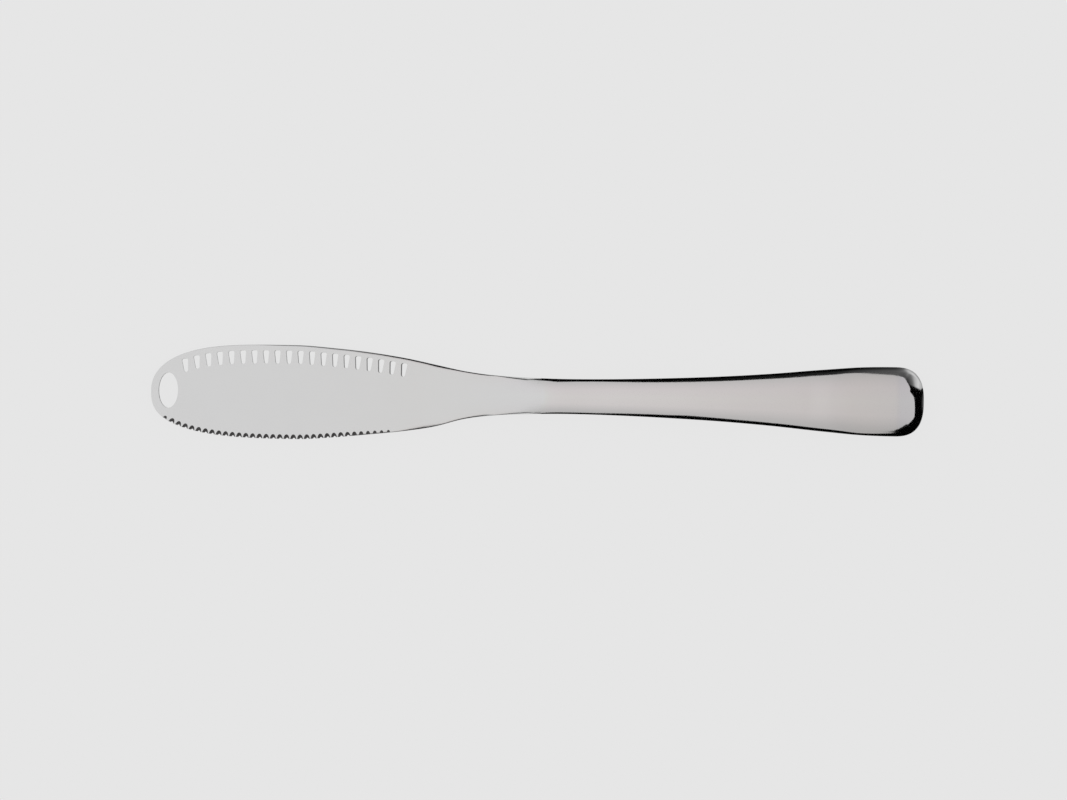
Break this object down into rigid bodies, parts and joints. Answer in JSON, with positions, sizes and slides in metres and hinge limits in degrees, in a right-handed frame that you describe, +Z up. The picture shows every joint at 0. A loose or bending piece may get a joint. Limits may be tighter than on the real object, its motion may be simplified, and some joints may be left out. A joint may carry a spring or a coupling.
{
  "type": "butter knife",
  "caption": "Hollow-handled stainless butter knife: oval spreading blade with slots along the spine, a finely serrated edge and an oval hanging hole.",
  "frame": {"origin": "under the middle of the knife, on the surface that the handle rests on", "axes": "+X along the knife from the blade's tip to the butt, +Y towards the slotted spine, +Z up through the thickness"},
  "size_m": [0.208, 0.0252, 0.0058],
  "materials": {
    "blade_steel": "polished",
    "handle_steel": "mirror polished",
    "handle_cement": "cast"
  },
  "bodies": {
    "root": {"blade": "blade_steel", "handle_upper_shell": "handle_steel", "handle_lower_shell": "handle_steel", "handle_filler": "handle_cement"}
  },
  "joints": []
}
